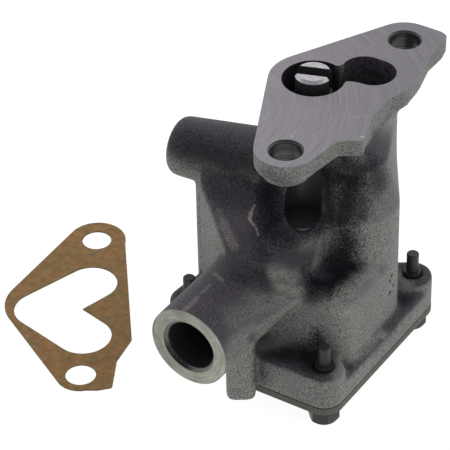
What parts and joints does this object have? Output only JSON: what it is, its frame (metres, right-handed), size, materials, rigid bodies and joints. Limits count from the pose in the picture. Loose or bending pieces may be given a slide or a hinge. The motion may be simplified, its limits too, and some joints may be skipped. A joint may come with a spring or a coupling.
{
  "type": "engine oil pump",
  "caption": "Cast iron gear oil pump with a bolt-on mounting flange, slotted drive shaft, open inlet boss, side relief valve boss, bolted bottom cover and a loose mounting gasket.",
  "frame": {"origin": "midway between the axes of the two mounting bolt holes, on the machined flange face", "axes": "+Z out of the flange face towards the engine and along the drive shaft; +Y from the front mounting hole to the rear one; the inlet bore opens along -Y"},
  "size_m": [0.14, 0.1324, 0.1004],
  "materials": {
    "cast_housing": "rough cast, dark grey phosphate",
    "cover_steel": "rough, dark grey phosphate",
    "joint_paper": "dark compressed fibre",
    "gasket_paper": "matte mottled brown compressed fibre",
    "ground_steel": "ground",
    "gear_steel": "sintered, satin",
    "key_steel": "satin",
    "spring_steel": "drawn wire",
    "plug_steel": "dark phosphate",
    "bolt_steel": "dark blue-grey phosphate"
  },
  "bodies": {
    "pump": {"housing": "cast_housing", "cover_plate": "cover_steel", "cover_gasket": "joint_paper", "mounting_gasket": "gasket_paper", "idler_shaft": "ground_steel", "relief_spring": "spring_steel", "relief_plug": "plug_steel", "cover_bolt_front_right": "bolt_steel", "lock_washer_front_right": "bolt_steel", "cover_bolt_rear_right": "bolt_steel", "lock_washer_rear_right": "bolt_steel", "cover_bolt_rear_left": "bolt_steel", "lock_washer_rear_left": "bolt_steel", "cover_bolt_front_left": "bolt_steel", "lock_washer_front_left": "bolt_steel"},
    "drive": {"drive_shaft": "ground_steel", "drive_gear": "gear_steel", "drive_gear_key": "key_steel"},
    "idler": {"idler_gear": "gear_steel"},
    "relief_valve": {"relief_plunger": "ground_steel"}
  },
  "joints": [
    {"name": "drive_spin", "type": "hinge", "parent": "pump", "child": "drive", "pos_m": [-0.0142, 0.00165, 0], "axis": [0, 0, 1], "continuous": true},
    {"name": "idler_spin", "type": "hinge", "parent": "pump", "child": "idler", "pos_m": [-0.00203, -0.02421, 0], "axis": [0, 0, 1], "continuous": true},
    {"name": "relief_slide", "type": "slide", "parent": "pump", "child": "relief_valve", "axis": [-0.9925, -0.1219, 0], "range_m": [0, 0.007], "stiffness_N_per_m": 600, "springref_m": -0.01, "deforming": ["relief_spring"]}
  ],
  "couplings": [
    {"joint": "idler_spin", "follows": "drive_spin", "ratio": -1}
  ]
}
